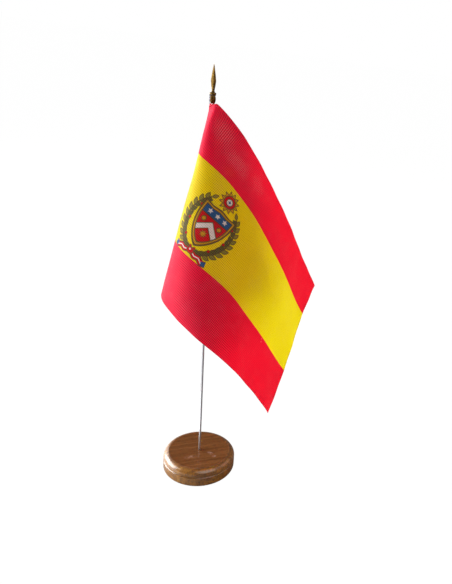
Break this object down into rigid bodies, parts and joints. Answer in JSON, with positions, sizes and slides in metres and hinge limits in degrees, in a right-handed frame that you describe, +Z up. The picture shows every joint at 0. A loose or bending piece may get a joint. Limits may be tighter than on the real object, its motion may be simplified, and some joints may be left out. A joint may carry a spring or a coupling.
{
  "type": "desk flag stand",
  "caption": "Desk flag stand: round turned wooden base, thin metal pole, spear finial and a small striped flag that hangs from a sleeve and a thread loop.",
  "frame": {"origin": "centre of the underside of the base's felt disc, on the pole's axis", "axes": "+Z up along the pole; the flag hangs towards +X with its fold towards -Y; +X to the viewer's right when looking along +Y"},
  "size_m": [0.1324, 0.1385, 0.3662],
  "materials": {
    "turned_wood": "lacquered",
    "felt": "matte",
    "pole_metal": "bright",
    "gilt_metal": "antique",
    "flag_fabric": "satin knit",
    "sleeve_fabric": "satin knit",
    "thread": "satin",
    "loop_thread": "satin"
  },
  "bodies": {
    "base": {"wood_base": "turned_wood", "base_felt": "felt"},
    "pole_rod": {"pole": "pole_metal"},
    "finial_top": {"finial": "gilt_metal"},
    "flag": {"flag_cloth": "flag_fabric", "hoist_sleeve": "sleeve_fabric", "seam_thread": "thread", "hanging_loop": "loop_thread"}
  },
  "joints": [
    {"name": "pole_lift", "type": "slide", "parent": "base", "child": "pole_rod", "axis": [0, 0, 1], "range_m": [0, 0.03]},
    {"name": "finial_lift", "type": "slide", "parent": "pole_rod", "child": "finial_top", "axis": [0, 0, 1], "range_m": [0, 0.155]},
    {"name": "flag_swivel", "type": "hinge", "parent": "finial_top", "child": "flag", "pos_m": [0, 0, 0.3], "axis": [0, 0, 1], "continuous": true}
  ]
}
